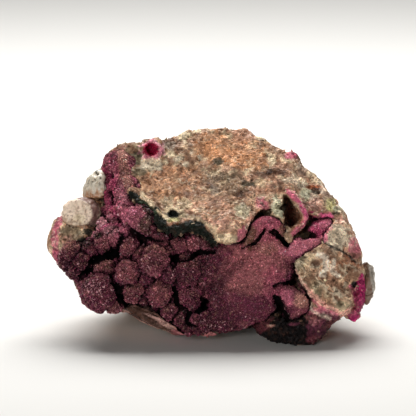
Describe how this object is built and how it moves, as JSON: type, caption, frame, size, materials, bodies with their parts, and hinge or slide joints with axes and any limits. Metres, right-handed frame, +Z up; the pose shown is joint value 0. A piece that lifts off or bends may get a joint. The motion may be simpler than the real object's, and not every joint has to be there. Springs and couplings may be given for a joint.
{
  "type": "mineral specimen",
  "caption": "Hand specimen of pink dolomite: a botryoidal druse fills a hollow under a ledge of tan host rock, with pale crystals on its edges. Rests on its worn underside.",
  "frame": {"origin": "middle of the footprint, on the surface that the specimen rests on", "axes": "+Z up; +X along the specimen's length, to the right of its show side; the show side faces -Y"},
  "size_m": [0.0824, 0.0564, 0.0503],
  "materials": {
    "host_rock": "rough, broken, iron-stained carbonate rock",
    "pink_druse": "sparkling crust of fine pink crystals",
    "pale_crystal": "milky, translucent crystal"
  },
  "bodies": {
    "root": {"host_rock": "host_rock", "pink_druse": "pink_druse", "milky_crystal": "pale_crystal", "clear_crystal": "pale_crystal", "edge_crystal": "pale_crystal"}
  },
  "joints": []
}
